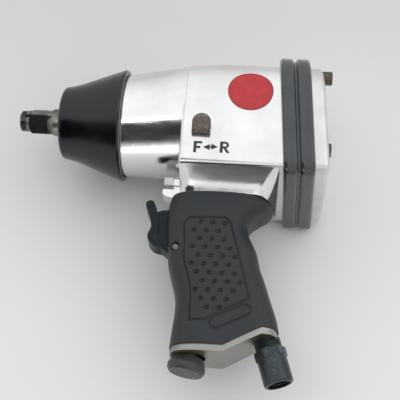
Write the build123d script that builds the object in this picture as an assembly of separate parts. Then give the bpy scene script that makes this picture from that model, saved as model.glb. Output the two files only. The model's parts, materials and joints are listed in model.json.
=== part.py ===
from build123d import *
import math
import os

# Half-inch pneumatic impact wrench, lying on its right side.
# Millimetres. X runs along the spindle from the drive's tip (X = 0) to the rear,
# +Y is the tool's top, so the handle points to -Y, and +Z is its left side.

# ---- driving dimensions ----
DRIVE_SQUARE = 12.7
DRIVE_CORNER_R = 8.6
TIP_R = 6.5
TIP_END = 3.8
RING_END = 6.2
SQUARE_END = 17.0
SHANK_START = 21.4
SHANK_R = 8.6

NOSE_START = 30.5
BARREL_START = 66.0
BARREL_R = 32.0
# The nose under the rubber boot, as (x, radius).
NOSE_PROFILE = ((NOSE_START, 18.8), (45.0, 24.2), (56.0, 28.6), (BARREL_START, BARREL_R - 1.0))
STEP_X = 105.5
HOUSING_REAR = 176.5
HALF_WIDTH = 37.5
TOP_HEIGHT = 36.5
BELLY_Y = -43.4
SQUARENESS = 3.1
CREASE_R = 3.2
SHOULDER_HEIGHT = 33.6
SHOULDER_END = 134.0
RIM_STEPS = 5

FLANGE_BORE_R = 13.2
HAMMER_BORE_R = 26.0
MOTOR_BORE_R = 31.0
HAMMER_BORE_START = 55.5
MOTOR_BORE_START = 109.0

BOOT_START = 27.4
BOOT_END = 67.5
BOOT_FRONT_R = 23.0
BOOT_REAR_R = 35.2
BOOT_HOLE_R = 11.5

BUSHING_END = 48.0
BUSHING_R = 11.0
FLANGE_R = 12.5
FLANGE_START = 49.0
RUNNING_GAP = 0.05
CAGE_R = 25.0
CAGE_START = 56.0
CAGE_END = 98.0
CAGE_PLATE = 4.5
CAGE_HUB_END = 107.0
CAGE_HUB_R = 11.0
DOG_R = 22.4
DOG_BORE_R = 13.3
DOG_LENGTH = 16.0
PIN_R = 4.0
PIN_OFFSET = 20.0

PLATE_R = 30.9
FRONT_PLATE_START = 109.0
LINER_START = 119.2
LINER_END = 159.6
REAR_PLATE_END = 169.0
LINER_BORE_R = 25.0
LINER_OFFSET = 2.2
ROTOR_R = 22.3
ROTOR_GAP = 0.3
VANE_COUNT = 6
VANE_T = 2.4
JOURNAL_R = 6.0
SHAFT_HEX = 11.0

BEARING_R = 14.0
BEARING_WIDTH = 8.0
BALL_R = 2.2
BALL_PITCH_R = 10.0
BALL_COUNT = 8

GASKET_T = 0.5
COVER_START = HOUSING_REAR + GASKET_T
COVER_END = 190.2
COVER_RAKE = (0.065, 0.0)
SCREW_SEAT = 187.9
SCREW_OFFSET = 25.5
SCREW_R = 2.5
SCREW_HEAD_R = 4.25
SCREW_HEAD_H = 5.0
SCREW_TIP_X = 150.0
WASHER_T = 1.2
PROTECTOR_START = 164.7
PROTECTOR_END = 183.2
PROTECTOR_RAKE = (0.062, 0.035)
PROTECTOR_T = 4.8
RIB_HEIGHT = 1.6
RIB_ROUND = 2.2
RIB_GAP_START = 173.4
RIB_GAP_END = 174.3

HANDLE_INSET = 4.0
HANDLE_BOTTOM_Y = -149.0
FOOT_INSET = 0.9
FOOT_HEIGHT = 3.6
BOSS_START = 101.6
BOSS_Y = -40.2
NECK_FRONT = 105.9
# The neck's flare from the belly down to the grip, as (y, half width, rear x, corner radius).
NECK_PROFILE = (
    (-42.8, 35.4, 164.6, 3.0),
    (-44.0, 32.2, 163.9, 4.0),
    (-45.6, 28.2, 162.8, 5.5),
    (-47.6, 23.9, 161.4, 7.0),
    (-50.0, 19.9, 159.8, 8.5),
    (-52.8, 17.3, 158.4, 9.0),
)
GRIP_TOP_Y = -53.0

TRIGGER_PIVOT = (106.7, -87.6)
TRIGGER_HALF_WIDTH = 6.0
SLOT_HALF_WIDTH = 5.4
WEB_Z = 4.9
WEB_T = 1.7
SHOULDER_X = 98.0
TRIGGER_PIN_R = 1.75
PIN_HOLE_R = 1.8
STEM_Y = -67.0
STEM_R = 2.4
STEM_START = 95.4
SEAT_END = 120.0

LEVER_PIVOT = (117.5, -21.3)
LEVER_REACH = 8.2
LEVER_HEEL = 4.4
LEVER_DOME_R = 2.0
LEVER_Z = HALF_WIDTH + 0.4
LEVER_T = 4.2
VALVE_START = 26.8
LABEL_CENTRE = (145.0, 6.0)
LABEL_R = 13.6

INLET_TILT = 18.0
INLET_MOUTH = (170.0, -161.0)
INLET_LENGTH = 30.0
INLET_R = 8.4
INLET_THREAD_R = 7.0
INLET_BORE_R = 5.9
KNOB_TILT = 9.0
KNOB_END = (117.6, -158.0)
KNOB_R = 10.7
KNOB_HEIGHT = 8.6
KNOB_FLUTES = 24

LEFT = (Align.CENTER, Align.CENTER, Align.MIN)


# ---- helpers ----
def rod(start, end, radius, end_radius=None):
    """Round bar or cone between two points."""
    start = Vector(*start)
    end = Vector(*end)
    length = (end - start).length
    place = Plane(origin=start, z_dir=end - start)
    if end_radius is None:
        return place * Cylinder(radius, length, align=LEFT)
    return place * Cone(radius, end_radius, length, align=LEFT)


def disc(x_start, x_end, radius, y=0.0, z=0.0):
    """Round bar along the spindle direction."""
    return rod((x_start, y, z), (x_end, y, z), radius)


def tube(x_start, x_end, radius, bore, y=0.0, z=0.0):
    outer = disc(x_start, x_end, radius, y, z)
    return outer - disc(x_start - 1, x_end + 1, bore, y, z)


def cross_bar(x, y, z_low, z_high, radius):
    """Round bar along Z."""
    return rod((x, y, z_low), (x, y, z_high), radius)


def block(low, high):
    """Box between two opposite corners."""
    size = [b - a for a, b in zip(low, high)]
    return Pos(*low) * Box(*size, align=(Align.MIN, Align.MIN, Align.MIN))


def spin(points):
    """Solid turned about the spindle from an (x, radius) outline."""
    return revolve(make_face(Polyline(*points, close=True)), Axis.X)


def side_plate(outline, z_low, z_high):
    """Side-view outline in X and Y, thickened along Z."""
    face = Pos(0, 0, z_low) * make_face(outline)
    return extrude(face, amount=z_high - z_low, dir=(0, 0, 1))


def hexagon(plane, across_flats, length):
    face = plane * RegularPolygon(across_flats / 2, 6, major_radius=False)
    return extrude(face, amount=length, dir=plane.z_dir)


def lame(angle, half_width, height, power):
    """Point of a superellipse as (y, z)."""
    c = math.cos(angle)
    s = math.sin(angle)
    z = half_width * math.copysign(abs(c) ** (2 / power), c)
    return (height * abs(s) ** (2 / power), z)


def half_curve(half_width, height, power, steps=10):
    """Curve from +Z over the crown to -Z, in section coordinates."""
    points = [lame(math.pi * i / steps, half_width, height, power) for i in range(steps + 1)]
    points[0] = (0.0, half_width)
    points[-1] = (0.0, -half_width)
    return Spline(*points, tangents=[(height, 0), (-height, 0)])


def egg_section(x, half_width, top, bottom, power):
    """Closed section with a squarish crown and a round belly."""
    plane = Plane.YZ.offset(x)
    crown = half_curve(half_width, top, power)
    belly = half_curve(half_width, -bottom, 2.0)
    return plane * make_face([crown, belly])


def motor_outline(grow=0.0, top=TOP_HEIGHT):
    """Section of the motor housing, grown outwards by a thickness."""
    width = HALF_WIDTH + grow
    low = BELLY_Y - grow
    crown = half_curve(width, top + grow, SQUARENESS)
    sides = FilletPolyline(
        (0, -width), (low, -width), (low, width), (0, width), radius=CREASE_R + grow
    )
    return make_face([crown, sides])


def motor_block(x_start, x_end, grow=0.0):
    face = Plane.YZ.offset(x_start) * motor_outline(grow)
    return extrude(face, amount=x_end - x_start, dir=(1, 0, 0))


def section_plane(x, rake=(0.0, 0.0)):
    """Plane across the spindle, leaning back towards the belly and the right side."""
    down, across = rake
    return Plane(origin=(x, 0, 0), x_dir=(-down, 1, 0), z_dir=(1, down, across))


def rounded_motor_block(x_start, x_end, grow, front_r, rear_r, rake=(0.0, 0.0)):
    """Motor section whose end rims are rounded."""
    stations = [(x_start + front_r, grow), (x_end - rear_r, grow)]
    for i in range(1, RIM_STEPS + 1):
        angle = math.pi / 2 * i / RIM_STEPS
        drop = 1 - math.cos(angle)
        run = math.sin(angle)
        if front_r:
            stations.insert(0, (x_start + front_r * (1 - run), grow - front_r * drop))
        if rear_r:
            stations.append((x_end - rear_r * (1 - run), grow - rear_r * drop))
    faces = [section_plane(x, rake) * motor_outline(offset) for x, offset in stations]
    return loft(faces, ruled=True)


def corner_screws():
    """Places of the four rear screws, as (y, z)."""
    return [(a * SCREW_OFFSET, b * SCREW_OFFSET) for a in (-1, 1) for b in (-1, 1)]


def save(name, *shapes):
    solids = [solid for shape in shapes for solid in shape.solids()]
    export_step(Compound(solids), os.path.join("parts", name + ".step"))


# ---- handle and grip ----
# Stations down the handle: y, front x, rear x, half thickness.
HANDLE_STATIONS = (
    (-51.0, 101.5, 156.0, 18.5),
    (-57.0, 100.2, 161.5, 18.5),
    (-63.0, 99.6, 153.5, 18.3),
    (-70.5, 99.7, 148.4, 18.2),
    (-80.0, 100.5, 151.0, 18.0),
    (-94.0, 102.6, 155.9, 18.0),
    (-106.0, 106.0, 160.2, 18.0),
    (-116.0, 108.6, 163.6, 18.0),
    (-128.0, 109.0, 167.6, 17.8),
    (-138.0, 108.2, 168.3, 17.4),
    (-150.0, 107.4, 168.5, 17.0),
)
HANDLE_POWER = 3.4
HANDLE_POINTS = 24


def handle_section(y, front, rear, half_thickness):
    """Rounded rectangle across the handle, as one closed curve."""
    plane = Plane(origin=((front + rear) / 2, y, 0), x_dir=(0, 0, 1), z_dir=(0, 1, 0))
    points = []
    for i in range(HANDLE_POINTS):
        angle = 2 * math.pi * (i + 0.5) / HANDLE_POINTS
        x, z = lame(angle, half_thickness, (rear - front) / 2, HANDLE_POWER)
        points.append((z, math.copysign(x, math.sin(angle))))
    return plane * make_face(Spline(*points, periodic=True))


def handle_body(inset=0.0):
    """Handle shape, set in from the grip's surface."""
    sections = [
        handle_section(y, front + inset, rear - inset, half - inset)
        for y, front, rear, half in HANDLE_STATIONS
    ]
    return loft(sections)


def bottom_cut(drop):
    """Everything below the handle's stepped lower end."""
    outline = Polyline(
        (95, HANDLE_BOTTOM_Y + drop),
        (138, HANDLE_BOTTOM_Y + drop),
        (151, HANDLE_BOTTOM_Y + 7.5 + drop),
        (159, HANDLE_BOTTOM_Y + 12.0 + drop),
        (175, HANDLE_BOTTOM_Y + 13.0 + drop),
        (175, -190),
        (95, -190),
        close=True,
    )
    return side_plate(outline, -30, 30)


def trigger_slot():
    """Opening in the handle's front for the trigger."""
    low = (90, -92, -SLOT_HALF_WIDTH)
    return block(low, (111.5, -57.5, SLOT_HALF_WIDTH))


# ---- housing ----
def neck():
    """Flared root between the motor housing's belly and the handle."""
    sections = []
    for y, half_width, rear, corner_r in NECK_PROFILE:
        place = Pos((NECK_FRONT + rear) / 2, y, 0) * Rot(-90, 0, 0)
        sections.append(place * RectangleRounded(rear - NECK_FRONT, 2 * half_width, corner_r))
    return loft(sections)


def motor_shoulder():
    """Front of the motor section, whose crown rises to full height."""
    heights = (
        (STEP_X, SHOULDER_HEIGHT - 1.5, -1.5),
        (STEP_X + 0.5, SHOULDER_HEIGHT - 0.6, -0.6),
        (STEP_X + 1.5, SHOULDER_HEIGHT, 0.0),
    )
    rim = loft(
        [section_plane(x) * motor_outline(grow, top - grow) for x, top, grow in heights],
        ruled=True,
    )
    rise = []
    for i in range(6):
        share = i / 5
        top = SHOULDER_HEIGHT + (TOP_HEIGHT - SHOULDER_HEIGHT) * math.sin(math.pi / 2 * share)
        x = STEP_X + 1.5 + (SHOULDER_END - STEP_X - 1.5) * share
        rise.append(section_plane(x) * motor_outline(0.0, top))
    return rim + loft(rise)


def motor_housing():
    root = BARREL_START + 2
    nose = spin([(NOSE_START, 0), *NOSE_PROFILE, (root, BARREL_R - 1.0), (root, 0)])
    barrel = loft(
        [
            egg_section(BARREL_START, BARREL_R - 0.5, BARREL_R - 0.5, 31.5, 2.0),
            egg_section(86.0, 34.2, 33.0, 32.0, 2.4),
            egg_section(STEP_X + 1.2, HALF_WIDTH - 0.3, SHOULDER_HEIGHT - 0.3, 32.5, SQUARENESS),
        ]
    )
    shell = nose + barrel + motor_shoulder()
    shell += motor_block(SHOULDER_END, HOUSING_REAR)
    shell += neck()
    shell += handle_body(HANDLE_INSET) - trigger_slot() - bottom_cut(0)
    shell += (handle_body(FOOT_INSET) & bottom_cut(FOOT_HEIGHT)) - bottom_cut(0)
    shell += disc(BOSS_START, STEP_X + 2, 5.4, y=BOSS_Y)
    lug = Polyline(
        (95, -45.6),
        (BOSS_START, -45.6),
        (BOSS_START, -43.6),
        (107, -43.6),
        (107, -52),
        (97.5, -50.4),
        (95, -48.8),
        close=True,
    )
    shell += side_plate(lug, -4, 4)
    shell -= disc(NOSE_START - 1, BUSHING_END, BUSHING_R)
    shell -= disc(BUSHING_END, HAMMER_BORE_START, FLANGE_BORE_R)
    shell -= disc(HAMMER_BORE_START, MOTOR_BORE_START, HAMMER_BORE_R)
    shell -= disc(MOTOR_BORE_START, HOUSING_REAR + 1, MOTOR_BORE_R)
    for y, z in corner_screws():
        shell -= disc(SCREW_TIP_X, HOUSING_REAR + 1, SCREW_R, y, z)
    shell -= throttle_bores()
    shell -= air_passages()
    shell -= reverse_bore()
    shell -= disc(BOSS_START - 1, BOSS_START + 9, 2.0, y=BOSS_Y)
    shell -= cross_bar(*TRIGGER_PIVOT, -16, 16, TRIGGER_PIN_R)
    return shell


def throttle_bores():
    guide = disc(107, SEAT_END, 6.0, y=STEM_Y)
    chamber = disc(SEAT_END, 139, 6.8, y=STEM_Y)
    return guide + chamber


def inlet_axis_point(distance):
    """Point on the inlet's axis, measured back from its mouth."""
    tilt = math.radians(INLET_TILT)
    x = INLET_MOUTH[0] - distance * math.sin(tilt)
    y = INLET_MOUTH[1] + distance * math.cos(tilt)
    return (x, y, 0.0)


def knob_axis_point(distance):
    """Point on the regulator's axis, measured back from the knob's face."""
    tilt = math.radians(KNOB_TILT)
    x = KNOB_END[0] + distance * math.sin(tilt)
    y = KNOB_END[1] + distance * math.cos(tilt)
    return (x, y, 0.0)


def air_passages():
    feed = rod(inlet_axis_point(28), (133, STEM_Y - 2, 4), 4.2)
    motor_feed = rod((127, STEM_Y, 4), (127, -29, 8), 4.0)
    exhaust = rod((146, -29, -8), (121, -128, -6), 4.0)
    socket = rod(inlet_axis_point(INLET_LENGTH + 1), inlet_axis_point(10), INLET_THREAD_R)
    regulator = rod(knob_axis_point(32), knob_axis_point(5), 5.5)
    knob_recess = rod(knob_axis_point(14.5), knob_axis_point(5), 9.4)
    return feed + motor_feed + exhaust + socket + regulator + knob_recess


def reverse_bore():
    x, y = LEVER_PIVOT
    return cross_bar(x, y, VALVE_START, HALF_WIDTH + 5, 5.0)


# ---- nose ----
def nose_boot():
    outer = Spline(
        (BOOT_START + 3.0, BOOT_FRONT_R),
        (45.0, 27.4),
        (BOOT_END - 1.5, BOOT_REAR_R),
        tangents=[(1, 0.17), (1, 0.36)],
    )
    rear = Polyline(
        (BOOT_END - 1.5, BOOT_REAR_R),
        (BOOT_END, BOOT_REAR_R - 0.6),
        (BOOT_END, BARREL_R + 0.4),
        (BARREL_START, BARREL_R + 0.4),
        (BARREL_START, BARREL_R - 0.5),
        *reversed(NOSE_PROFILE[:-1]),
        (NOSE_START, BOOT_HOLE_R),
        (BOOT_START, BOOT_HOLE_R),
        (BOOT_START, BOOT_FRONT_R - 3.0),
    )
    nose_round = ThreePointArc(
        (BOOT_START, BOOT_FRONT_R - 3.0),
        (BOOT_START + 0.88, BOOT_FRONT_R - 0.88),
        (BOOT_START + 3.0, BOOT_FRONT_R),
    )
    return revolve(make_face([outer, rear, nose_round]), Axis.X)


def anvil():
    tip = spin(
        [
            (0, 0),
            (0, TIP_R - 0.8),
            (0.8, TIP_R),
            (TIP_END, TIP_R),
            (TIP_END, 4.7),
            (RING_END, 4.7),
            (RING_END, 0),
        ]
    )
    square = Plane.YZ.offset(RING_END) * Rot(0, 0, 45) * Rectangle(DRIVE_SQUARE, DRIVE_SQUARE)
    drive = extrude(square, amount=SHANK_START - RING_END, dir=(1, 0, 0))
    drive &= spin(
        [
            (RING_END, 0),
            (RING_END, TIP_R + 0.4),
            (RING_END + 1.4, DRIVE_CORNER_R),
            (SHANK_START, DRIVE_CORNER_R),
            (SHANK_START, 0),
        ]
    )
    shoulder = rod((SQUARE_END, 0, 0), (SHANK_START, 0, 0), 6.35, SHANK_R)
    body = spin(
        [
            (SHANK_START, 0),
            (SHANK_START, SHANK_R),
            (FLANGE_START, SHANK_R),
            (FLANGE_START, FLANGE_R),
            (FLANGE_START + 5.5, FLANGE_R),
            (FLANGE_START + 5.5, 8.5),
            (CAGE_END - CAGE_PLATE - 0.5, 8.5),
            (CAGE_END - CAGE_PLATE - 0.5, 6.0),
            (CAGE_END - 0.5, 6.0),
            (CAGE_END - 0.5, 0),
        ]
    )
    first = block((62, 6, -3.5), (62 + DOG_LENGTH - 2, 12.4, 3.5))
    second = block((79, -12.4, -3.5), (79 + DOG_LENGTH - 3, -6, 3.5))
    return tip + drive + shoulder + body + first + second


def friction_ring():
    ring = tube(TIP_END + 0.2, RING_END - 0.2, 6.7, 5.5)
    return ring - block((0, -1.2, 0), (10, 1.2, 10))


def drive_o_ring():
    return tube(TIP_END + 0.4, RING_END - 0.4, 5.4, 4.75)


def anvil_bushing():
    return tube(NOSE_START, BUSHING_END, BUSHING_R, SHANK_R + RUNNING_GAP)


def thrust_washer():
    return tube(BUSHING_END, BUSHING_END + 0.8, FLANGE_R, SHANK_R + 0.4)


# ---- twin hammers ----
def hammer_cage():
    front = tube(CAGE_START, CAGE_START + CAGE_PLATE, CAGE_R, 8.9)
    rear = tube(CAGE_END - CAGE_PLATE, CAGE_END, CAGE_R, 6.0 + RUNNING_GAP)
    wall = tube(CAGE_START, CAGE_END, CAGE_R, DOG_R + 0.4)
    windows = block((CAGE_START - 1, -40, -15), (CAGE_END + 1, 40, 15))
    hub = disc(CAGE_END, CAGE_HUB_END, CAGE_HUB_R)
    hub -= hexagon(Plane.YZ.offset(CAGE_END), SHAFT_HEX, 12)
    cage = front + rear + (wall - windows) + hub
    for side in (-1, 1):
        cage -= disc(CAGE_START - 1, CAGE_END + 1, PIN_R, y=side * PIN_OFFSET)
    return cage


def hammer_dog(x_start, side):
    ring = tube(x_start, x_start + DOG_LENGTH, DOG_R, DOG_BORE_R)
    tooth = block((x_start, -12.9, 4.3), (x_start + DOG_LENGTH, -4, 13.2))
    tooth += block((x_start, 4, 4.3), (x_start + DOG_LENGTH, 12.9, 13.2))
    keep = tube(x_start - 1, x_start + DOG_LENGTH + 1, DOG_BORE_R + 0.5, 9.2)
    dog = ring + (tooth & keep & block((0, -20 * (1 - side), 0), (200, 20 * (1 + side), 20)))
    for hole in (-1, 1):
        dog -= disc(x_start - 1, x_start + DOG_LENGTH + 1, PIN_R + 0.05, y=hole * PIN_OFFSET)
    return dog


def hammer_pins():
    return [
        disc(CAGE_START + 0.5, CAGE_END - 0.5, PIN_R, y=side * PIN_OFFSET) for side in (-1, 1)
    ]


# ---- air motor ----
def bearing_outer(x_start):
    ring = tube(x_start, x_start + BEARING_WIDTH, BEARING_R, 11.7)
    return ring - ball_race(x_start)


def bearing_inner(x_start):
    ring = tube(x_start, x_start + BEARING_WIDTH, 8.3, JOURNAL_R)
    return ring - ball_race(x_start)


def ball_race(x_start):
    middle = Pos(x_start + BEARING_WIDTH / 2, 0, 0) * Rot(0, 90, 0)
    return middle * Torus(BALL_PITCH_R, BALL_R + 0.06)


def bearing_balls(x_start):
    x = x_start + BEARING_WIDTH / 2
    balls = []
    for i in range(BALL_COUNT):
        angle = 2 * math.pi * i / BALL_COUNT
        y = BALL_PITCH_R * math.cos(angle)
        z = BALL_PITCH_R * math.sin(angle)
        balls.append(Pos(x, y, z) * Sphere(BALL_R))
    return balls


def dowel_hole(radius=1.5):
    return disc(112, 166, radius, y=-27.5)


def front_end_plate():
    plate = disc(FRONT_PLATE_START, LINER_START, PLATE_R)
    plate -= disc(100, FRONT_PLATE_START + BEARING_WIDTH + 0.5, BEARING_R)
    plate -= disc(100, LINER_START + 1, 8.6)
    return plate - dowel_hole()


def rear_end_plate():
    plate = disc(LINER_END, REAR_PLATE_END, PLATE_R)
    plate -= disc(REAR_PLATE_END - BEARING_WIDTH, REAR_PLATE_END + 1, BEARING_R)
    plate -= disc(LINER_END - 1, REAR_PLATE_END + 1, 8.6)
    return plate - dowel_hole()


def cylinder_liner():
    liner = disc(LINER_START, LINER_END, PLATE_R)
    liner -= disc(LINER_START - 1, LINER_END + 1, LINER_BORE_R, y=LINER_OFFSET)
    for x in (127, 139, 151):
        liner -= rod((x, 0, -10), (x, -20, -33), 2.5)
        liner -= rod((x, 0, 10), (x, -20, 33), 2.5)
    return liner - dowel_hole()


def vane_angles():
    return [360 * i / VANE_COUNT + 15 for i in range(VANE_COUNT)]


def rotor():
    start = LINER_START + ROTOR_GAP
    end = LINER_END - ROTOR_GAP
    body = disc(start, end, ROTOR_R) + disc(CAGE_HUB_END, REAR_PLATE_END - 0.5, JOURNAL_R)
    body += hexagon(Plane.YZ.offset(CAGE_END + 0.5), SHAFT_HEX, CAGE_HUB_END - CAGE_END)
    slot = block((start - 1, 12, -VANE_T / 2 - 0.05), (end + 1, 30, VANE_T / 2 + 0.05))
    for angle in vane_angles():
        body -= Rot(angle, 0, 0) * slot
    return body


def rotor_vanes():
    start = LINER_START + ROTOR_GAP
    end = LINER_END - ROTOR_GAP
    vane = block((start, 12.4, -VANE_T / 2), (end, ROTOR_R + 0.1, VANE_T / 2))
    return [Rot(angle, 0, 0) * vane for angle in vane_angles()]


def cylinder_dowel():
    return dowel_hole()


# ---- rear end ----
def rear_gasket():
    sheet = motor_block(HOUSING_REAR, COVER_START, grow=-0.4)
    sheet -= disc(HOUSING_REAR - 1, COVER_START + 1, MOTOR_BORE_R)
    for y, z in corner_screws():
        sheet -= disc(HOUSING_REAR - 1, COVER_START + 1, SCREW_R + 0.3, y, z)
    return sheet


def rear_cover():
    plate = rounded_motor_block(COVER_START - 8, COVER_END, 0.0, 0.0, 3.0, COVER_RAKE)
    plate -= block((COVER_START - 20, -60, -60), (COVER_START, 60, 60))
    plate += tube(REAR_PLATE_END, COVER_START + 1, PLATE_R, 26.0)
    plate -= disc(COVER_START - 1, COVER_START + 6, 26.0)
    for y, z in corner_screws():
        plate -= disc(COVER_START - 1, COVER_END + 1, SCREW_R + 0.3, y, z)
        plate -= disc(SCREW_SEAT, SCREW_SEAT + 10, SCREW_HEAD_R + 0.7, y, z)
    return plate


def rear_cover_screws():
    screws = []
    seat = SCREW_SEAT + WASHER_T
    for y, z in corner_screws():
        screw = disc(SCREW_TIP_X + 2, seat, SCREW_R, y, z)
        head = disc(seat, seat + SCREW_HEAD_H, SCREW_HEAD_R, y, z)
        screw += chamfer(head.edges().sort_by(Axis.X)[-1], 0.5)
        socket = Plane(origin=(seat + 2, y, z), x_dir=(0, 1, 0), z_dir=(1, 0, 0))
        screws.append(screw - hexagon(socket, 4.0, 10))
    return screws


def spring_washers():
    seat = SCREW_SEAT
    washers = []
    for y, z in corner_screws():
        ring = tube(seat, seat + WASHER_T, SCREW_HEAD_R - 0.05, SCREW_R + 0.1, y, z)
        washers.append(ring - block((seat - 1, y, z - 0.4), (seat + 3, y + 8, z + 0.4)))
    return washers


def rear_protector():
    """Rubber band with two rounded ribs around the housing's rear edge."""
    web = PROTECTOR_T - RIB_HEIGHT
    rake = PROTECTOR_RAKE
    band = rounded_motor_block(PROTECTOR_START + 2, PROTECTOR_END - 2, web, 0, 0, rake)
    for start, end in ((PROTECTOR_START, RIB_GAP_START), (RIB_GAP_END, PROTECTOR_END)):
        band += rounded_motor_block(start, end, PROTECTOR_T, RIB_ROUND, RIB_ROUND, rake)
    return band - motor_block(PROTECTOR_START - 10, PROTECTOR_END + 10)


def side_label():
    x, y = LABEL_CENTRE
    skin = motor_block(x - 20, x + 20, grow=0.3) - motor_block(x - 21, x + 21)
    return skin & cross_bar(x, y, 10, 50, LABEL_R)


def grease_screw():
    seat = Plane(origin=(BOSS_START - 6.2, BOSS_Y, 0), x_dir=(0, 1, 0), z_dir=(1, 0, 0))
    screw = hexagon(seat, 8.6, 5.4) + disc(BOSS_START - 1, BOSS_START + 7, 2.0, y=BOSS_Y)
    return screw - disc(BOSS_START - 7, BOSS_START - 5, 1.6, y=BOSS_Y)


def grease_washer():
    return tube(BOSS_START - 0.8, BOSS_START, 5.0, 2.1, y=BOSS_Y)


# ---- reverse valve ----
def reverse_lever():
    x, y = LEVER_PIVOT
    heel = y - LEVER_HEEL
    neck_y = y + 2.7
    sides = Polyline((x - 5.5, neck_y), (x - 5.4, heel), (x + 5.4, heel), (x + 5.5, neck_y))
    cap = ThreePointArc((x + 5.5, neck_y), (x, y + LEVER_REACH), (x - 5.5, neck_y))
    tab = side_plate([sides, cap], LEVER_Z, LEVER_Z + LEVER_T)
    top = tab.faces().sort_by(Axis.Z)[-1]
    tab = fillet(top.edges(), LEVER_DOME_R)
    return tab + cross_bar(x, y, VALVE_START + 6.0, LEVER_Z + 1, 4.2)


def reverse_valve():
    x, y = LEVER_PIVOT
    spool = cross_bar(x, y, VALVE_START + 0.4, VALVE_START + 6.0, 4.2)
    return spool - block((x - 6, y - 1.6, VALVE_START), (x + 6, y + 1.6, VALVE_START + 3.5))


def reverse_bushing():
    x, y = LEVER_PIVOT
    sleeve = cross_bar(x, y, VALVE_START + 0.3, HALF_WIDTH - 1.0, 5.0)
    return sleeve - cross_bar(x, y, 10, 50, 4.2 + RUNNING_GAP)


# ---- trigger and throttle ----
def trigger():
    """Curved finger blade, its foot down to the pivot and two guide webs."""
    px, py = TRIGGER_PIVOT
    front = Spline(
        (86.3, -58.6), (89.2, -65.5), (90.3, -73.0), (88.9, -77.6), (91.2, -82.4), (97.0, -84.6)
    )
    heel = Polyline(
        (97.0, -84.6),
        (px - 3.2, py - 2.2),
        (px + 1.5, py - 2.6),
        (px + 1.5, py + 2.4),
        (px - 3.5, -80.6),
        (96.6, -79.4),
        (94.6, -76.6),
    )
    inner = Spline((94.6, -76.6), (94.3, -66.0), (91.4, -56.8))
    tip = ThreePointArc((91.4, -56.8), (88.0, -54.7), (86.3, -58.6))
    width = TRIGGER_HALF_WIDTH
    lever = side_plate([front, heel, inner, tip], -width, width)
    for side in (-1, 1):
        low = min(side * WEB_Z, side * (width + 1))
        high = max(side * WEB_Z, side * (width + 1))
        lever -= block((SHOULDER_X, -100, low), (px + 5, -50, high))
    outline = Polyline(
        (91.5, -62.5), (96.5, -60.4), (102.5, -60.0), (102.5, -83.0), (94.0, -80.0), close=True
    )
    for z in (-WEB_Z, WEB_Z - WEB_T):
        lever += side_plate(outline, z, z + WEB_T)
    return lever - cross_bar(px, py, -20, 20, PIN_HOLE_R)


def trigger_pin():
    return cross_bar(*TRIGGER_PIVOT, -13.5, 13.5, TRIGGER_PIN_R)


def valve_stem():
    stem = disc(STEM_START, SEAT_END + 0.3, STEM_R, y=STEM_Y)
    return stem + disc(SEAT_END + 0.3, SEAT_END + 3.3, 5.2, y=STEM_Y)


def throttle_bushing():
    return tube(111.6, SEAT_END, 6.0, STEM_R + RUNNING_GAP, y=STEM_Y)


def throttle_spring():
    wire_r = 0.45
    start = SEAT_END + 3.3 + wire_r + 0.1
    end = 138.4
    path = Pos(start, STEM_Y, 0) * Rot(0, 90, 0) * Helix(2.6, end - start, 3.9)
    place = Plane(origin=path @ 0, z_dir=path % 0)
    return sweep(place * Circle(wire_r), path=path)


# ---- handle bottom ----
def air_inlet():
    mouth = inlet_axis_point(0)
    along = Plane(origin=mouth, z_dir=Vector(*inlet_axis_point(1)) - Vector(*mouth))
    body = along * Cylinder(INLET_R, 16.0, align=LEFT)
    body = chamfer(body.edges().sort_by(Axis.Y)[0], 0.8)
    nut = along.offset(15.0)
    body += hexagon(nut, 15.8, 5.2)
    body += rod(inlet_axis_point(20), inlet_axis_point(INLET_LENGTH), INLET_THREAD_R)
    body -= rod(inlet_axis_point(-1), inlet_axis_point(15), INLET_BORE_R + 0.55)
    return body - rod(inlet_axis_point(14), inlet_axis_point(INLET_LENGTH + 1), INLET_BORE_R - 1.2)


def inlet_screen():
    return rod(inlet_axis_point(15.0), inlet_axis_point(16.0), 4.7)


def regulator_knob():
    face = Vector(*knob_axis_point(0))
    along = Plane(origin=face, z_dir=Vector(*knob_axis_point(1)) - face)
    outline = Polyline(
        (0, 0),
        (KNOB_R - 1.4, 0),
        (KNOB_R, 1.6),
        (KNOB_R, 4.0),
        (KNOB_R - 1.6, KNOB_HEIGHT),
        (0, KNOB_HEIGHT),
        close=True,
    )
    body = revolve(Plane.XZ * make_face(outline), Axis.Z)
    flute = Pos(KNOB_R + 0.75, 0, 0) * Cylinder(1.0, 30)
    for i in range(KNOB_FLUTES):
        body -= Rot(0, 0, 360 * i / KNOB_FLUTES) * flute
    return along * body


def regulator_valve():
    spool = rod(knob_axis_point(KNOB_HEIGHT), knob_axis_point(30), 4.2)
    port = rod(knob_axis_point(24), knob_axis_point(31), 2.4)
    groove = rod(knob_axis_point(17), knob_axis_point(19), 4.3)
    groove -= rod(knob_axis_point(16.9), knob_axis_point(19.1), 3.2)
    return spool - port - groove


def regulator_bushing():
    sleeve = rod(knob_axis_point(15), knob_axis_point(31.5), 5.5)
    return sleeve - rod(knob_axis_point(14), knob_axis_point(32), 4.2 + RUNNING_GAP)


def regulator_o_ring():
    ring = rod(knob_axis_point(17.2), knob_axis_point(18.8), 4.15)
    return ring - rod(knob_axis_point(17), knob_axis_point(19), 3.25)


def grip_sleeve():
    sleeve = handle_body() - trigger_slot() - handle_body(HANDLE_INSET)
    sleeve -= bottom_cut(FOOT_HEIGHT)
    sleeve -= block((90, GRIP_TOP_Y, -40), (175, -40, 40))
    sleeve -= cross_bar(*TRIGGER_PIVOT, -30, 30, 2.4)
    sleeve -= rod(inlet_axis_point(14), inlet_axis_point(INLET_LENGTH + 1), INLET_THREAD_R + 0.3)
    return sleeve.solids().sort_by(SortBy.VOLUME)[-1]


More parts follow.
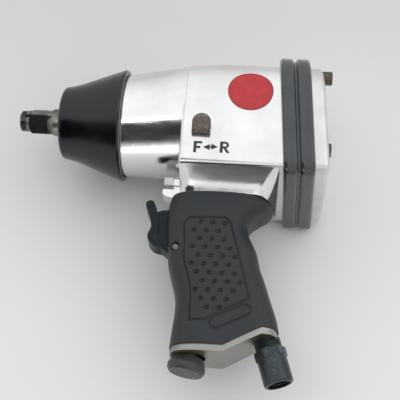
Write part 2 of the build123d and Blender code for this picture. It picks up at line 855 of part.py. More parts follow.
PARTS = {
    "motor_housing": motor_housing,
    "nose_boot": nose_boot,
    "anvil": anvil,
    "friction_ring": friction_ring,
    "drive_o_ring": drive_o_ring,
    "anvil_bushing": anvil_bushing,
    "thrust_washer": thrust_washer,
    "hammer_cage": hammer_cage,
    "front_end_plate": front_end_plate,
    "rear_end_plate": rear_end_plate,
    "cylinder_liner": cylinder_liner,
    "rotor": rotor,
    "cylinder_dowel": cylinder_dowel,
    "rear_gasket": rear_gasket,
    "rear_cover": rear_cover,
    "rear_protector": rear_protector,
    "side_label": side_label,
    "grease_screw": grease_screw,
    "grease_washer": grease_washer,
    "reverse_lever": reverse_lever,
    "reverse_valve": reverse_valve,
    "reverse_bushing": reverse_bushing,
    "trigger": trigger,
    "trigger_pin": trigger_pin,
    "valve_stem": valve_stem,
    "throttle_bushing": throttle_bushing,
    "throttle_spring": throttle_spring,
    "air_inlet": air_inlet,
    "inlet_screen": inlet_screen,
    "regulator_knob": regulator_knob,
    "regulator_valve": regulator_valve,
    "regulator_bushing": regulator_bushing,
    "regulator_o_ring": regulator_o_ring,
    "grip_sleeve": grip_sleeve,
}


def main():
    os.makedirs("parts", exist_ok=True)
    for name, make in PARTS.items():
        save(name, make())
    front_bearing = FRONT_PLATE_START + 0.5
    rear_bearing = REAR_PLATE_END - BEARING_WIDTH
    for end, start in (("front", front_bearing), ("rear", rear_bearing)):
        save(end + "_bearing_outer", bearing_outer(start))
        save(end + "_bearing_inner", bearing_inner(start))
        save(end + "_bearing_balls", *bearing_balls(start))
    save("hammer_pins", *hammer_pins())
    save("front_hammer_dog", hammer_dog(61.0, 1))
    save("rear_hammer_dog", hammer_dog(77.3, -1))
    save("rotor_vanes", *rotor_vanes())
    save("rear_cover_screws", *rear_cover_screws())
    save("spring_washers", *spring_washers())


main()
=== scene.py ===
import bmesh
import bpy
import json
import math
import numpy as np
from mathutils import Matrix, Vector


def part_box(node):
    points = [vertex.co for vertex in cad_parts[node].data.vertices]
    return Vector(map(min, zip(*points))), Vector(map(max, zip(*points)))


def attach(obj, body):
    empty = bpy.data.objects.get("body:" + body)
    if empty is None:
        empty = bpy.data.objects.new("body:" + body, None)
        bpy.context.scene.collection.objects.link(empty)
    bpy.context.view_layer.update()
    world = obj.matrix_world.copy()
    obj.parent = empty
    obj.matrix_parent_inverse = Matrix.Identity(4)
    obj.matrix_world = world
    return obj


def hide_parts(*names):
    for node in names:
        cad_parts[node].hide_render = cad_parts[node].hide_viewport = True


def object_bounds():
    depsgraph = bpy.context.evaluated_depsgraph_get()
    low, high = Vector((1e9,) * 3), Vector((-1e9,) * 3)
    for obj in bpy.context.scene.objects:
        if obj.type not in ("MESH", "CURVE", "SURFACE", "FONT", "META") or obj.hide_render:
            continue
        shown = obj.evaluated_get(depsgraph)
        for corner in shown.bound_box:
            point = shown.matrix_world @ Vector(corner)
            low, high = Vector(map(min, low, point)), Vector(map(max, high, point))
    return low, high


# Half-inch air impact wrench lying on its right side on a pale sheet.
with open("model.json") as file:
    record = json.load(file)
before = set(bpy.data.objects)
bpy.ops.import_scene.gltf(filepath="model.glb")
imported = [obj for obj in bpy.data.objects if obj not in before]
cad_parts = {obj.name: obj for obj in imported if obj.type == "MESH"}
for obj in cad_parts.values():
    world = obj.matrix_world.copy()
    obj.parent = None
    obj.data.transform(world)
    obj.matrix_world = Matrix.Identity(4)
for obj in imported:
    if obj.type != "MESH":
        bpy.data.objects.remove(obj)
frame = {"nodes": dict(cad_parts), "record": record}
NODES = frame["nodes"]
cad_low, cad_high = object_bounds()
MM = 0.001
# Sockets of a colour Mix node, whose names its other kinds share.
MIX_A, MIX_B, MIX_RESULT = 6, 7, 2
RANGE_SOCKETS = ("From Min", "From Max", "To Min", "To Max")
# Mesh attribute of the grip: how far in a point was moulded, in millimetres; the rubber paints
# shade from it.
RECESS = "recess"


# ---------------------------------------------------------------- materials
class Shader:
    """Builds one node material; coordinates are metres in the object's own frame."""

    def __init__(self, name):
        self.material = bpy.data.materials.new(name)
        self.material.use_nodes = True
        self.tree = self.material.node_tree
        self.bsdf = self.tree.nodes["Principled BSDF"]
        self.coord = self.node("ShaderNodeTexCoord").outputs["Object"]
        self.height = None

    def node(self, kind, **values):
        made = self.tree.nodes.new(kind)
        for key, value in values.items():
            setattr(made, key, value)
        return made

    def link(self, source, target):
        self.tree.links.new(source, target)

    def fix(self, **values):
        for key, value in values.items():
            self.bsdf.inputs[key.replace("_", " ")].default_value = value

    def position(self, axis):
        """One coordinate of the surface point."""
        split = self.node("ShaderNodeSeparateXYZ")
        self.link(self.coord, split.inputs["Vector"])
        return split.outputs[axis]

    def stretched(self, factors):
        mapping = self.node("ShaderNodeMapping")
        mapping.inputs["Scale"].default_value = factors
        self.link(self.coord, mapping.inputs["Vector"])
        return mapping.outputs["Vector"]

    def noise(self, scale, detail, rough, stretch=None):
        made = self.node("ShaderNodeTexNoise")
        made.inputs["Scale"].default_value = scale
        made.inputs["Detail"].default_value = detail
        made.inputs["Roughness"].default_value = rough
        self.link(self.stretched(stretch) if stretch else self.coord, made.inputs["Vector"])
        return made.outputs["Fac"]

    def pits(self, scale, low, high):
        """1 in small round spots, 0 elsewhere."""
        made = self.node("ShaderNodeTexVoronoi")
        made.inputs["Scale"].default_value = scale
        self.link(self.coord, made.inputs["Vector"])
        return self.span(made.outputs["Distance"], low, high, 1.0, 0.0)

    def span(self, source, low, high, out_low, out_high):
        made = self.node("ShaderNodeMapRange")
        for key, value in zip(RANGE_SOCKETS, (low, high, out_low, out_high)):
            made.inputs[key].default_value = value
        self.link(source, made.inputs["Value"])
        return made.outputs["Result"]

    def math(self, operation, a, b):
        made = self.node("ShaderNodeMath", operation=operation)
        for socket, value in zip(made.inputs, (a, b)):
            if isinstance(value, (int, float)):
                socket.default_value = value
            else:
                self.link(value, socket)
        return made.outputs["Value"]

    def blend(self, factor, a, b):
        made = self.node("ShaderNodeMix", data_type="RGBA")
        self.link(factor, made.inputs["Factor"])
        for key, value in ((MIX_A, a), (MIX_B, b)):
            if isinstance(value, tuple):
                made.inputs[key].default_value = (*value, 1.0)
            else:
                self.link(value, made.inputs[key])
        return made.outputs[MIX_RESULT]

    def colour(self, source):
        self.link(source, self.bsdf.inputs["Base Color"])

    def roughness(self, source):
        self.link(source, self.bsdf.inputs["Roughness"])

    def bump(self, source, distance, strength):
        """Adds relief on top of what is there already."""
        made = self.node("ShaderNodeBump")
        made.inputs["Distance"].default_value = distance
        made.inputs["Strength"].default_value = strength
        self.link(source, made.inputs["Height"])
        if self.height is not None:
            self.link(self.height, made.inputs["Normal"])
        self.height = made.outputs["Normal"]
        self.link(self.height, self.bsdf.inputs["Normal"])


# Stretch of the marks that turning leaves, and where a finish changes, in metres: down the
# handle, along the drive, across the label from its middle, and where painted shade
# darkens the floor.
TOOL_MARKS = (1.0, 0.12, 0.12)
RAW_CAST_Y = (-0.125, -0.135)
SHANK_X = (0.0172, 0.0205)
LABEL_EDGE = (0.0121, 0.0126)
PAINTED_SHADE_FLOOR_Y = (-0.12, 0.12)


def polished_casting():
    """Buffed aluminium, left raw at the handle's foot."""
    s = Shader("polished_casting")
    s.fix(Metallic=1.0)
    cloudy = s.noise(38.0, 4.0, 0.6)
    buffed = s.noise(260.0, 3.0, 0.6, stretch=(0.18, 1.0, 1.0))
    raw = s.span(s.position("Y"), *RAW_CAST_Y, 0.0, 1.0)
    patch = s.span(cloudy, 0.3, 0.75, 0.0, 1.0)
    metal = s.blend(patch, (0.88, 0.88, 0.89), (0.74, 0.735, 0.72))
    s.colour(s.blend(raw, metal, (0.34, 0.325, 0.295)))
    haze = s.span(cloudy, 0.3, 0.75, 0.11, 0.20)
    rough = s.math("ADD", haze, s.span(buffed, 0.35, 0.8, 0.0, 0.10))
    s.roughness(s.math("ADD", rough, s.math("MULTIPLY", raw, 0.22)))
    s.bump(s.noise(34.0, 2.0, 0.5), 0.0011, 0.35)
    s.bump(buffed, 0.00005, 0.5)
    s.bump(s.pits(210.0, 0.06, 0.16), -0.00006, 0.5)
    return s.material


def satin_casting():
    """Cast aluminium with a dull, fine grain."""
    s = Shader("satin_casting")
    s.fix(Metallic=1.0)
    cloudy = s.noise(55.0, 4.0, 0.6)
    grain = s.noise(1500.0, 3.0, 0.6)
    patch = s.span(cloudy, 0.3, 0.7, 0.0, 1.0)
    s.colour(s.blend(patch, (0.80, 0.80, 0.80), (0.66, 0.655, 0.64)))
    s.roughness(s.span(cloudy, 0.3, 0.7, 0.30, 0.44))
    s.bump(grain, 0.00006, 0.6)
    return s.material


def machined(name, light, dark, rough, grain=0.00003):
    """Turned or ground metal with oil stain and fine tool marks."""
    s = Shader(name)
    s.fix(Metallic=1.0)
    stain = s.noise(150.0, 4.0, 0.6)
    marks = s.noise(2400.0, 2.0, 0.5, stretch=TOOL_MARKS)
    s.colour(s.blend(s.span(stain, 0.38, 0.68, 0.0, 1.0), light, dark))
    film = s.span(stain, 0.3, 0.7, rough, rough + 0.14)
    s.roughness(s.math("ADD", film, s.span(marks, 0.3, 0.7, 0.0, 0.08)))
    s.bump(marks, grain, 0.6)
    s.bump(s.pits(900.0, 0.08, 0.22), -0.00004, 0.4)
    return s.material


def drive_steel():
    """Ground shank with a blackened square end."""
    s = Shader("drive_steel")
    s.fix(Metallic=1.0)
    stain = s.noise(150.0, 4.0, 0.6)
    marks = s.noise(2400.0, 2.0, 0.5, stretch=TOOL_MARKS)
    shank = s.span(s.position("X"), *SHANK_X, 0.0, 1.0)
    patch = s.span(stain, 0.38, 0.68, 0.0, 1.0)
    dark = s.blend(patch, (0.085, 0.080, 0.072), (0.030, 0.028, 0.025))
    ground = s.blend(patch, (0.30, 0.29, 0.262), (0.12, 0.113, 0.098))
    s.colour(s.blend(shank, dark, ground))
    film = s.span(stain, 0.3, 0.7, 0.20, 0.34)
    s.roughness(s.math("ADD", film, s.span(marks, 0.3, 0.7, 0.0, 0.08)))
    s.bump(marks, 0.00003, 0.6)
    return s.material


def black_oxide(name, base, worn, rough, wear):
    """Black finished steel, rubbed bright in small patches."""
    s = Shader(name)
    s.fix(Metallic=0.85)
    rub = s.noise(420.0, 5.0, 0.7)
    broad = s.noise(90.0, 3.0, 0.5)
    rubbed = s.span(rub, wear, wear + 0.12, 0.0, 1.0)
    patch = s.math("MULTIPLY", rubbed, s.span(broad, 0.4, 0.65, 0.2, 1.0))
    s.colour(s.blend(patch, base, worn))
    s.roughness(s.span(rub, 0.3, 0.75, rough + 0.14, rough - 0.05))
    s.bump(s.noise(2600.0, 3.0, 0.6), 0.00004, 0.7)
    return s.material


def rubber(name, base, dusty, rough, grain, gloss=0.0):
    """Black rubber or soft plastic, dusty in patches, with painted shade where it is moulded in."""
    s = Shader(name)
    s.fix(Coat_Weight=gloss, Coat_Roughness=0.10)
    dust = s.noise(70.0, 5.0, 0.65)
    fine = s.noise(1900.0, 3.0, 0.6)
    recess = s.node("ShaderNodeAttribute", attribute_name=RECESS)
    surface = s.blend(s.span(dust, 0.38, 0.75, 0.0, 1.0), base, dusty)
    # Painted shade: near black in the grip's moulded grooves and dimples.
    sunk = s.span(recess.outputs["Fac"], 0.3, 0.9, 0.0, 1.0)
    s.colour(s.blend(sunk, surface, (0.002, 0.002, 0.002)))
    film = s.span(dust, 0.3, 0.7, rough, rough + 0.12)
    s.roughness(s.math("ADD", film, s.span(fine, 0.3, 0.7, -0.04, 0.06)))
    s.bump(fine, grain, 0.6)
    s.bump(s.noise(120.0, 2.0, 0.5), 0.00012, 0.4)
    return s.material


def sticker():
    """Glossy red label: a darker edge ring and faint print mottling."""
    s = Shader("red_sticker")
    s.fix(Coat_Weight=0.25, Coat_Roughness=0.2)
    low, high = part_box("side_label")
    mapping = s.node("ShaderNodeMapping", vector_type="POINT")
    centre = (low + high) / 2
    mapping.inputs["Location"].default_value = (-centre.x, -centre.y, 0)
    s.link(s.coord, mapping.inputs["Vector"])
    flat = s.node("ShaderNodeVectorMath", operation="MULTIPLY")
    flat.inputs[1].default_value = (1.0, 1.0, 0.0)
    s.link(mapping.outputs["Vector"], flat.inputs[0])
    distance = s.node("ShaderNodeVectorMath", operation="LENGTH")
    s.link(flat.outputs["Vector"], distance.inputs[0])
    edge = s.span(distance.outputs["Value"], *LABEL_EDGE, 0.0, 1.0)
    mottle = s.noise(260.0, 4.0, 0.6)
    patch = s.span(mottle, 0.35, 0.7, 0.0, 1.0)
    inner = s.blend(patch, (0.56, 0.010, 0.016), (0.45, 0.009, 0.014))
    s.colour(s.blend(edge, inner, (0.42, 0.012, 0.014)))
    s.roughness(s.span(mottle, 0.3, 0.7, 0.28, 0.42))
    s.bump(mottle, 0.00004, 0.5)
    return s.material


def print_ink():
    """Black paint, chipped grey in places."""
    s = Shader("print_ink")
    worn = s.noise(900.0, 4.0, 0.7)
    chips = s.span(worn, 0.60, 0.74, 0.0, 1.0)
    s.colour(s.blend(chips, (0.022, 0.022, 0.024), (0.16, 0.16, 0.16)))
    s.roughness(s.span(worn, 0.3, 0.7, 0.35, 0.55))
    s.bump(worn, 0.00002, 0.6)
    return s.material


def resin(name, light, dark, rough):
    """Pressed fibre sheet."""
    s = Shader(name)
    weave = s.noise(1300.0, 3.0, 0.6, stretch=(0.2, 1.0, 1.0))
    s.colour(s.blend(s.span(weave, 0.35, 0.7, 0.0, 1.0), light, dark))
    s.roughness(s.span(weave, 0.3, 0.7, rough, rough + 0.15))
    s.bump(weave, 0.00003, 0.6)
    return s.material


def pale_paper():
    """Matt backdrop with painted shade: a little darker towards the tool's top."""
    s = Shader("pale_paper")
    cloud = s.noise(2.2, 3.0, 0.5)
    grain = s.noise(420.0, 3.0, 0.6)
    # Painted shade: the floor's colour darkens towards +Y in place of light falling off.
    far = s.span(s.position("Y"), *PAINTED_SHADE_FLOOR_Y, 0.0, 1.0)
    patch = s.span(cloud, 0.35, 0.7, 0.0, 1.0)
    paper = s.blend(patch, (0.86, 0.855, 0.86), (0.83, 0.825, 0.825))
    s.colour(s.blend(far, paper, (0.70, 0.675, 0.67)))
    s.roughness(s.span(grain, 0.3, 0.7, 0.55, 0.72))
    s.bump(grain, 0.00004, 0.4)
    return s.material


CASTING = polished_casting()
COVER = satin_casting()
GROUND = machined("ground_steel", (0.66, 0.66, 0.655), (0.50, 0.49, 0.47), 0.20)
RING = machined("ring_steel", (0.26, 0.255, 0.25), (0.12, 0.115, 0.11), 0.30)
HAMMER = machined("hammer_steel", (0.42, 0.41, 0.39), (0.30, 0.285, 0.26), 0.30)
DRIVE = drive_steel()
BEARING = machined("bearing_steel", (0.78, 0.78, 0.79), (0.66, 0.65, 0.64), 0.08, 0.00001)
BRASS = machined("turned_brass", (0.80, 0.62, 0.30), (0.62, 0.46, 0.20), 0.22)
BRONZE = machined("bronze", (0.62, 0.44, 0.24), (0.44, 0.30, 0.16), 0.34)
SCREEN = machined("screen_wire", (0.55, 0.55, 0.54), (0.34, 0.34, 0.33), 0.35)
OXIDE = black_oxide("black_phosphate", (0.050, 0.060, 0.066), (0.24, 0.26, 0.27), 0.26, 0.58)
BLADE = black_oxide("trigger_black", (0.018, 0.023, 0.027), (0.10, 0.11, 0.12), 0.34, 0.62)
SCREWS = black_oxide("screw_black", (0.10, 0.085, 0.065), (0.38, 0.34, 0.28), 0.34, 0.52)
LEVER = black_oxide("lever_grey", (0.12, 0.10, 0.088), (0.30, 0.265, 0.235), 0.32, 0.48)
BOOT = rubber("boot_rubber", (0.0015, 0.0017, 0.0024), (0.004, 0.0045, 0.006), 0.13, 0.00001)
BAND = rubber("band_rubber", (0.014, 0.019, 0.023), (0.030, 0.037, 0.043), 0.20, 0.00001, 0.8)
GRIP = rubber("grip_rubber", (0.009, 0.0125, 0.0155), (0.017, 0.021, 0.025), 0.40, 0.00004)
SEAL = rubber("seal_rubber", (0.012, 0.012, 0.012), (0.022, 0.022, 0.022), 0.4, 0.00002)
KNOB = rubber("knob_plastic", (0.028, 0.028, 0.028), (0.055, 0.054, 0.052), 0.38, 0.00004, 0.1)
LABEL = sticker()
INK = print_ink()
VANES = resin("vane_resin", (0.34, 0.18, 0.09), (0.20, 0.10, 0.05), 0.4)
FIBRE = resin("gasket_fibre", (0.20, 0.24, 0.22), (0.13, 0.16, 0.15), 0.7)

FINISHES = {
    "motor_housing": CASTING,
    "rear_cover": COVER,
    "nose_boot": BOOT,
    "rear_protector": BAND,
    "grip_sleeve": GRIP,
    "anvil": DRIVE,
    "friction_ring": RING,
    "drive_o_ring": SEAL,
    "anvil_bushing": BRONZE,
    "thrust_washer": GROUND,
    "hammer_cage": HAMMER,
    "front_hammer_dog": HAMMER,
    "rear_hammer_dog": HAMMER,
    "hammer_pins": GROUND,
    "front_end_plate": GROUND,
    "rear_end_plate": GROUND,
    "cylinder_liner": GROUND,
    "cylinder_dowel": GROUND,
    "rotor": HAMMER,
    "rotor_vanes": VANES,
    "front_bearing_outer": BEARING,
    "front_bearing_inner": BEARING,
    "front_bearing_balls": BEARING,
    "rear_bearing_outer": BEARING,
    "rear_bearing_inner": BEARING,
    "rear_bearing_balls": BEARING,
    "rear_gasket": FIBRE,
    "rear_cover_screws": SCREWS,
    "spring_washers": SCREWS,
    "side_label": LABEL,
    "grease_screw": GROUND,
    "grease_washer": GROUND,
    "reverse_lever": LEVER,
    "reverse_valve": BRASS,
    "reverse_bushing": BRASS,
    "trigger": BLADE,
    "trigger_pin": RING,
    "valve_stem": BRASS,
    "throttle_bushing": BRASS,
    "throttle_spring": GROUND,
    "air_inlet": OXIDE,
    "inlet_screen": SCREEN,
    "regulator_knob": KNOB,
    "regulator_valve": BRASS,
    "regulator_bushing": BRASS,
    "regulator_o_ring": SEAL,
}
for name, node in NODES.items():
    node.data.materials.clear()
    node.data.materials.append(FINISHES[name])


# ---------------------------------------------------------------- pieces
def piece(name, mesh, body, material, smooth=True):
    """Adds a mesh to the visual model as one piece that rides a body."""
    obj = bpy.data.objects.new(name, mesh)
    bpy.context.scene.collection.objects.link(obj)
    mesh.materials.clear()
    mesh.materials.append(material)
    for polygon in mesh.polygons:
        polygon.use_smooth = smooth
    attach(obj, body)
    return obj


def segment_distance(p, a, b):
    """Distance of points, rows of (x, y), from a line segment."""
    a, b = np.array(a), np.array(b)
    t = np.clip(((p - a) @ (b - a)) / ((b - a) @ (b - a)), 0.0, 1.0)
    return np.linalg.norm(p - a - t[:, None] * (b - a), axis=1)


def outline_distance(p, outline):
    """Distance of points from a closed outline."""
    sides = zip(outline, outline[1:] + outline[:1])
    return np.min([segment_distance(p, a, b) for a, b in sides], axis=0)


def inside(p, outline):
    """Which points lie in a closed outline."""
    odd = np.zeros(len(p), bool)
    for (ax, ay), (bx, by) in zip(outline, outline[1:] + outline[:1]):
        spans = (ay > p[:, 1]) != (by > p[:, 1])
        rise = by - ay if by != ay else 1.0
        odd ^= spans & (p[:, 0] < (bx - ax) * (p[:, 1] - ay) / rise + ax)
    return odd


# The grip's moulded side, in millimetres: the panel's groove and sunk field, the outline of
# the small plate below it, and the staggered dimples.
PANEL = [
    (110.8, -73.2), (113.4, -70.2), (133.7, -68.9), (137.7, -71.5), (143.3, -91.0),
    (150.9, -117.6), (137.7, -125.5), (126.8, -131.5), (118.2, -132.1), (117.9, -118.0),
    (116.4, -107.5), (112.4, -96.9),
]
GROOVE_DEPTH = 1.0
GROOVE_WIDTH = 0.50
FIELD_DEPTH = 0.25
FIELD_RAMP = 1.2
PLATE_ENDS = ((133.0, -133.0), (148.6, -125.0))
PLATE_R = 3.3
PLATE_DEPTH = 0.9
PLATE_WIDTH = 0.45
DIMPLE_START = (106.0, -72.6)
DIMPLE_ROWS = 13
DIMPLE_COLUMNS = 9
DIMPLE_STEP = (7.1, 5.2)
DIMPLE_SIZE = (1.65, 1.05)
DIMPLE_DEPTH = 0.95
DIMPLE_MARGIN = 2.3
# Only this far from the middle plane, and facing this much sideways, is the side moulded.
FLANK_Z = 13.5
FLANK_FACING = 0.45
VOXEL_FULL = 0.00045


def dimple_centres():
    """Staggered rows, kept clear of the panel's groove."""
    x, y = DIMPLE_START
    step_x, step_y = DIMPLE_STEP
    places = [
        (x + (column + 0.5 * (row % 2)) * step_x, y - row * step_y)
        for row in range(DIMPLE_ROWS)
        for column in range(DIMPLE_COLUMNS)
    ]
    places = np.array(places)
    keep = inside(places, PANEL) & (outline_distance(places, PANEL) > DIMPLE_MARGIN)
    return places[keep]


def grip_relief(p, centres):
    """How far in, in millimetres, the moulded pattern takes points of the grip's side."""
    border = outline_distance(p, PANEL)
    depth = GROOVE_DEPTH * np.exp(-((border / GROOVE_WIDTH) ** 2))
    depth += inside(p, PANEL) * FIELD_DEPTH * np.minimum(1.0, border / FIELD_RAMP)
    for centre in centres:
        reach = np.linalg.norm((p - centre) / DIMPLE_SIZE, axis=1)
        depth += DIMPLE_DEPTH * np.exp(-(reach**4))
    ring = np.abs(segment_distance(p, *PLATE_ENDS) - PLATE_R)
    return depth + PLATE_DEPTH * np.exp(-((ring / PLATE_WIDTH) ** 2))


def make_grip():
    """The grip on an even fine mesh, with its sides moulded in."""
    obj = bpy.data.objects.new("grip_source", NODES["grip_sleeve"].data.copy())
    bpy.context.scene.collection.objects.link(obj)
    remesh = obj.modifiers.new("even", "REMESH")
    remesh.mode = "VOXEL"
    remesh.voxel_size = VOXEL_FULL
    depsgraph = bpy.context.evaluated_depsgraph_get()
    fine = bpy.data.meshes.new_from_object(obj.evaluated_get(depsgraph))
    bpy.data.objects.remove(obj)
    count = len(fine.vertices)
    place = np.empty(count * 3)
    facing = np.empty(count * 3)
    fine.vertices.foreach_get("co", place)
    fine.vertices.foreach_get("normal", facing)
    place = place.reshape(-1, 3)
    z = place[:, 2] / MM
    facing = facing.reshape(-1, 3)[:, 2]
    outer = (np.abs(z) > FLANK_Z) & (z * facing > 0) & (np.abs(facing) > FLANK_FACING)
    relief = grip_relief(place[outer, :2] / MM, dimple_centres())
    place[outer, 2] -= np.sign(z[outer]) * relief * MM
    fine.vertices.foreach_set("co", place.ravel())
    # The depths feed the rubber's painted shade in the grooves and dimples.
    sunk = np.zeros(count)
    sunk[outer] = relief
    fine.attributes.new(RECESS, "FLOAT", "POINT").data.foreach_set("value", sunk)
    fine.update()
    grip = piece("grip_moulding", fine, "housing", GRIP)
    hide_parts("grip_sleeve")


def plates(name, outlines, z_low, z_high, body, material):
    """Flat prisms from closed outlines in millimetres."""
    bm = bmesh.new()
    for outline in outlines:
        rings = []
        for z in (z_low, z_high):
            rings.append([bm.verts.new((x * MM, y * MM, z * MM)) for x, y in outline])
        low, high = rings
        bm.faces.new(list(reversed(low)))
        bm.faces.new(high)
        for i in range(len(outline)):
            j = (i + 1) % len(outline)
            bm.faces.new((low[i], low[j], high[j], high[i]))
    bmesh.ops.recalc_face_normals(bm, faces=bm.faces)
    bmesh.ops.triangulate(bm, faces=[f for f in bm.faces if len(f.verts) > 4])
    mesh = bpy.data.meshes.new(name)
    bm.to_mesh(mesh)
    bm.free()
    piece(name, mesh, body, material, smooth=False)


def placed(points, corner):
    """Points moved by a corner's place."""
    return [(corner[0] + x, corner[1] + y) for x, y in points]


def arc_band(centre, inner, outer, start, end, steps=10):
    """Outline of a ring's sector, its angles in degrees."""
    angles = [math.radians(start + (end - start) * i / steps) for i in range(steps + 1)]
    out = [(outer * math.cos(a), outer * math.sin(a)) for a in angles]
    back = [(inner * math.cos(a), inner * math.sin(a)) for a in angles]
    return placed(out + back[::-1], centre)


# The direction mark's stroke, and its layer below and above the housing's side, in mm.
STROKE = 1.75
PAINT_BELOW = 0.03
PAINT_ABOVE = 0.06


def make_direction_mark():
    """Painted F, double arrow and R that say which way the lever sends the drive."""
    f_corner = (113.9, -38.1)
    r_corner = (129.2, -37.5)
    f_shape = [
        (0, 0), (STROKE, 0), (STROKE, 2.9), (4.1, 2.9), (4.1, 4.4), (STROKE, 4.4),
        (STROKE, 6.1), (4.9, 6.1), (4.9, 7.6), (0, 7.6),
    ]
    r_stem = [(0, 0), (STROKE, 0), (STROKE, 7.5), (0, 7.5)]
    r_top = [(STROKE, 6.1), (2.9, 6.1), (2.9, 7.5), (STROKE, 7.5)]
    r_middle = [(STROKE, 2.9), (2.9, 2.9), (2.9, 4.3), (STROKE, 4.3)]
    r_leg = [(2.2, 2.9), (3.9, 2.9), (5.9, 0), (4.0, 0)]
    bowl = arc_band((2.9, 5.2), 0.9, 2.3, -90, 90)
    left_head = [(119.4, -34.2), (123.4, -32.2), (123.4, -36.2)]
    right_head = [(128.2, -33.8), (124.2, -35.8), (124.2, -31.8)]
    shaft = [(123.4, -34.5), (124.2, -34.5), (124.2, -33.5), (123.4, -33.5)]
    letters = [placed(f_shape, f_corner)]
    letters += [placed(shape, r_corner) for shape in (r_stem, r_top, r_middle, r_leg, bowl)]
    outlines = letters + [left_head, right_head, shaft]
    side = max(v.co.z for v in NODES["motor_housing"].data.vertices) / MM
    low, high = side - PAINT_BELOW, side + PAINT_ABOVE
    plates("direction_mark", outlines, low, high, "housing", INK)


def axis_frame(origin, direction):
    """Matrix whose Z runs along a direction, in metres."""
    return Matrix.Translation(origin) @ direction.to_track_quat("Z", "Y").to_matrix().to_4x4()


# The inlet's threads, in millimetres.
THREAD_PITCH = 1.41
THREAD_HALF = 0.46 * THREAD_PITCH
THREAD_STEPS = 48
THREAD_FADE = 12
# Start behind the mouth, radius, depth, turns, and whether it stands outward.
THREADS = {
    "inlet_inner_thread": (1.2, 6.42, 0.75, 8.5, False),
    "inlet_outer_thread": (20.6, 6.98, 0.7, 4.4, True),
}


def helix_thread(name, place, radius, depth, turns, outward):
    """Triangular thread of the inlet, wound on its wall and fading at both ends."""
    side = 1 if outward else -1
    profile = [
        (-THREAD_HALF, 0.0),
        (0.0, side * depth),
        (THREAD_HALF, 0.0),
        (0.0, -side * 0.25 * depth),
    ]
    bm = bmesh.new()
    rings = []
    count = int(turns * THREAD_STEPS)
    for i in range(count + 1):
        angle = 2 * math.pi * i / THREAD_STEPS
        rise = THREAD_PITCH * i / THREAD_STEPS
        fade = min(1.0, i / THREAD_FADE, (count - i) / THREAD_FADE)
        ring = []
        for along, reach in profile:
            r = radius + reach * fade
            point = Vector((r * math.cos(angle), r * math.sin(angle), rise + along)) * MM
            ring.append(bm.verts.new(place @ point))
        rings.append(ring)
    for a, b in zip(rings, rings[1:]):
        for k in range(len(profile)):
            j = (k + 1) % len(profile)
            bm.faces.new((a[k], a[j], b[j], b[k]))
    bm.faces.new(rings[0])
    bm.faces.new(list(reversed(rings[-1])))
    bmesh.ops.recalc_face_normals(bm, faces=bm.faces)
    mesh = bpy.data.meshes.new(name)
    bm.to_mesh(mesh)
    bm.free()
    piece(name, mesh, "housing", OXIDE)


def make_inlet_threads():
    mount = next(m for m in frame["record"]["mounts"] if m["name"] == "air_inlet")
    mouth = Vector(mount["pos_m"])
    inward = -Vector(mount["axis"])
    for name, (start, *shape) in THREADS.items():
        helix_thread(name, axis_frame(mouth + inward * start * MM, inward), *shape)


make_grip()
make_direction_mark()
make_inlet_threads()


# ---------------------------------------------------------------- stage
FLOOR_HALF = 8.0
FLOOR_GAP = 0.00002
CAMERA_PLACE = (0.154, -0.308, 0.507)
CAMERA_RIGHT = (0.99651, 0.07705, -0.03209)
CAMERA_BACK = (0.06366, -0.45307, 0.88920)
SENSOR = 36.0
LENS = 84.6
# The sky's lower and upper colours, and two soft patches in it that polished metal
# reflects: direction, cosines where it starts and is full, and colour.
SKY_LOW = (0.50, 0.495, 0.49, 1)
SKY_HIGH = (0.80, 0.815, 0.825, 1)
SKY_HIGH_AT = 0.75
SKY_STRENGTH = 1.36
SKY_PATCHES = (
    ((-0.52, -0.67, 0.53), 0.83, 0.92, (0.02, 0.021, 0.022)),
    ((0.05, -1.0, 0.06), 0.90, 0.985, (0.65, 0.655, 0.66)),
)
WARM = (1.0, 0.985, 0.97)
COOL = (0.97, 0.985, 1.0)
# Name, place, target, diameter, power and colour.
LAMPS = (
    ("key", (1.00, 0.35, 0.95), (0.10, -0.04, 0), 0.90, 1.0, WARM),
    ("window", (-0.14, -1.28, 0.06), (0.12, -0.04, 0), 0.24, 0.5, COOL),
    ("lamp", (-0.33, -0.40, 1.05), (0.10, -0.04, 0), 0.07, 0.25, WARM),
)


def make_floor():
    mesh = bpy.data.meshes.new("floor")
    z = cad_low[2] - FLOOR_GAP
    corners = [(x * FLOOR_HALF, y * FLOOR_HALF, z) for x, y in ((-1, -1), (1, -1), (1, 1), (-1, 1))]
    mesh.from_pydata(corners, [], [(0, 1, 2, 3)])
    mesh.materials.append(pale_paper())
    floor = bpy.data.objects.new("floor", mesh)
    bpy.context.scene.collection.objects.link(floor)


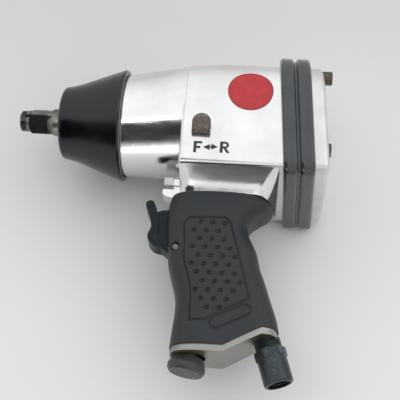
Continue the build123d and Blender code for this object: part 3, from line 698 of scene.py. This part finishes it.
def sky_patch(tree, direction, base, axis, low, high, colour):
    """Mixes a soft round patch of another brightness into the sky's colour."""
    dot = tree.nodes.new("ShaderNodeVectorMath")
    dot.operation = "DOT_PRODUCT"
    dot.inputs[1].default_value = Vector(axis).normalized()
    tree.links.new(direction, dot.inputs[0])
    shade = tree.nodes.new("ShaderNodeMapRange")
    shade.interpolation_type = "SMOOTHSTEP"
    for key, value in zip(RANGE_SOCKETS, (low, high, 0.0, 1.0)):
        shade.inputs[key].default_value = value
    tree.links.new(dot.outputs["Value"], shade.inputs["Value"])
    mix = tree.nodes.new("ShaderNodeMix")
    mix.data_type = "RGBA"
    tree.links.new(shade.outputs["Result"], mix.inputs["Factor"])
    tree.links.new(base, mix.inputs[MIX_A])
    mix.inputs[MIX_B].default_value = (*colour, 1)
    return mix.outputs[MIX_RESULT]


def make_world():
    """Soft pale room, darker low down, with a dark shape and a dull low window in it."""
    world = bpy.data.worlds.new("studio")
    bpy.context.scene.world = world
    world.use_nodes = True
    tree = world.node_tree
    background = tree.nodes["Background"]
    direction = tree.nodes.new("ShaderNodeTexCoord").outputs["Generated"]
    split = tree.nodes.new("ShaderNodeSeparateXYZ")
    tree.links.new(direction, split.inputs["Vector"])
    ramp = tree.nodes.new("ShaderNodeValToRGB")
    low_stop, high_stop = ramp.color_ramp.elements
    low_stop.position = 0.0
    low_stop.color = SKY_LOW
    high_stop.position = SKY_HIGH_AT
    high_stop.color = SKY_HIGH
    tree.links.new(split.outputs["Z"], ramp.inputs["Fac"])
    sky = ramp.outputs["Color"]
    for patch in SKY_PATCHES:
        sky = sky_patch(tree, direction, sky, *patch)
    tree.links.new(sky, background.inputs["Color"])
    background.inputs["Strength"].default_value = SKY_STRENGTH


def area_light(name, place, target, size, power, colour):
    data = bpy.data.lights.new(name, "AREA")
    data.shape = "DISK"
    data.size = size
    data.energy = power
    data.color = colour
    light = bpy.data.objects.new(name, data)
    light.location = place
    light.rotation_euler = (Vector(target) - Vector(place)).to_track_quat("-Z", "Y").to_euler()
    bpy.context.scene.collection.objects.link(light)


def make_camera():
    data = bpy.data.cameras.new("camera")
    data.sensor_width = SENSOR
    data.lens = LENS
    data.clip_start = 0.01
    right = Vector(CAMERA_RIGHT).normalized()
    back = Vector(CAMERA_BACK).normalized()
    up = back.cross(right).normalized()
    right = up.cross(back)
    turn = Matrix((right, up, back)).transposed().to_4x4()
    camera = bpy.data.objects.new("camera", data)
    camera.matrix_world = Matrix.Translation(CAMERA_PLACE) @ turn
    bpy.context.scene.collection.objects.link(camera)
    bpy.context.scene.camera = camera


bpy.context.scene.view_settings.view_transform = "Standard"
make_floor()
make_world()
for lamp in LAMPS:
    area_light(*lamp)
make_camera()
